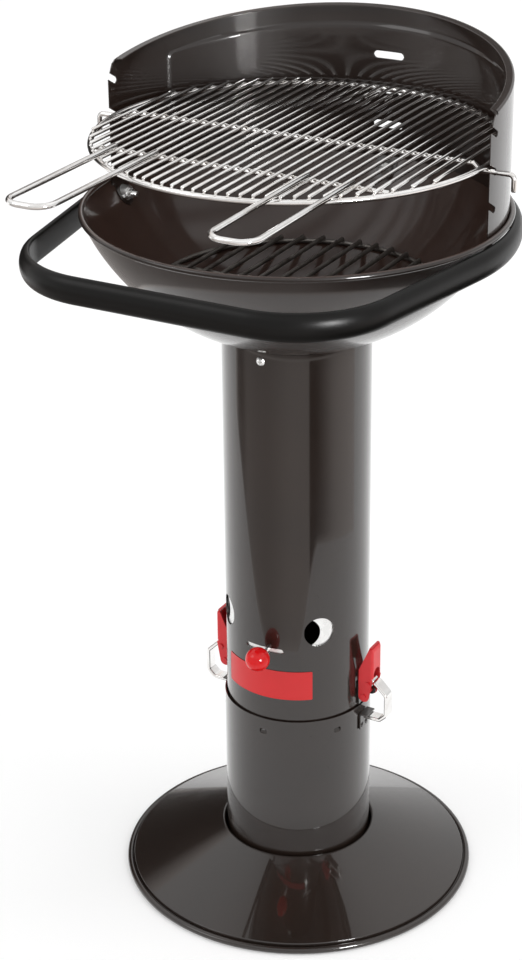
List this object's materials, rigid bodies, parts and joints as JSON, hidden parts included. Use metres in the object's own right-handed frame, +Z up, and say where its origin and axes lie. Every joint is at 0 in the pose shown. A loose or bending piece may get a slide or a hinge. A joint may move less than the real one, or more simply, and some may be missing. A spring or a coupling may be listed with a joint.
{
  "type": "charcoal grill",
  "caption": "Pedestal charcoal grill: cone foot, ash pot latched to a column with a turning air sleeve, bowl with a wind screen, handle bar and a loose wire cooking grid.",
  "frame": {"origin": "on the floor under the column's axis", "axes": "+Z up along the column, -Y to the front where the handle bar and the grid's loops stand out"},
  "size_m": [0.4824, 0.5691, 0.957],
  "materials": {
    "enamel": "gloss enamel",
    "handle_paint": "satin",
    "bright_wire": "bright plated",
    "grate_iron": "dull",
    "zinc": "bright zinc",
    "red_paint": "satin",
    "red_ball": "gloss",
    "red_label": "gloss"
  },
  "bodies": {
    "stand": {"base_cone": "enamel", "ash_pot": "enamel", "pot_studs": "zinc", "base_nuts": "zinc", "column_tube": "enamel", "front_label": "red_label", "fire_bowl": "enamel", "neck_screws": "zinc", "neck_nuts": "zinc", "handle_bar": "handle_paint", "handle_studs": "zinc", "handle_spacers": "zinc", "saddle_washers": "zinc", "handle_nuts": "zinc", "wind_screen": "enamel", "right_latch_keeper": "enamel", "left_latch_keeper": "enamel", "keeper_rivets": "enamel", "right_latch_bracket": "enamel", "left_latch_bracket": "enamel", "bracket_rivets": "enamel", "right_lever_pin": "red_paint", "left_lever_pin": "red_paint"},
    "air_control": {"air_sleeve": "zinc", "lever_stem": "zinc", "stem_nut": "zinc", "lever_knob": "red_ball"},
    "cooking_grid": {"grid_ring": "bright_wire", "grid_bars": "bright_wire", "grid_middle_wire": "bright_wire", "grid_front_wire": "bright_wire", "grid_rear_hook": "bright_wire", "right_grid_handle": "bright_wire", "left_grid_handle": "bright_wire"},
    "fire_grate": {"grate_ring": "grate_iron", "grate_bars": "grate_iron", "grate_cross_wire": "grate_iron"},
    "right_latch": {"right_latch_lever": "red_paint", "right_claw_pin": "red_paint"},
    "left_latch": {"left_latch_lever": "red_paint", "left_claw_pin": "red_paint"},
    "right_hook": {"right_claw": "bright_wire"},
    "left_hook": {"left_claw": "bright_wire"}
  },
  "joints": [
    {"name": "sleeve_turn", "type": "hinge", "parent": "stand", "child": "air_control", "pos_m": [0, 0, 0.324], "axis": [0, 0, 1], "range_deg": [-17.4, 11.4]},
    {"name": "grid_lift", "type": "slide", "parent": "stand", "child": "cooking_grid", "axis": [0, -0.866, 0.5], "range_m": [0, 0.06]},
    {"name": "grate_lift", "type": "slide", "parent": "stand", "child": "fire_grate", "axis": [0, 0, 1], "range_m": [0, 0.05]},
    {"name": "right_lever_turn", "type": "hinge", "parent": "stand", "child": "right_latch", "pos_m": [0.0885, 0, 0.24], "axis": [0, 1, 0], "range_deg": [0, 60]},
    {"name": "right_hook_turn", "type": "hinge", "parent": "right_latch", "child": "right_hook", "pos_m": [0.0935, 0, 0.257], "axis": [0, 1, 0], "range_deg": [-60, 0]},
    {"name": "left_lever_turn", "type": "hinge", "parent": "stand", "child": "left_latch", "pos_m": [-0.0885, 0, 0.24], "axis": [0, -1, 0], "range_deg": [0, 60]},
    {"name": "left_hook_turn", "type": "hinge", "parent": "left_latch", "child": "left_hook", "pos_m": [-0.0935, 0, 0.257], "axis": [0, -1, 0], "range_deg": [-60, 0]}
  ],
  "couplings": [
    {"joint": "right_hook_turn", "follows": "right_lever_turn", "ratio": -1},
    {"joint": "left_hook_turn", "follows": "left_lever_turn", "ratio": -1}
  ]
}
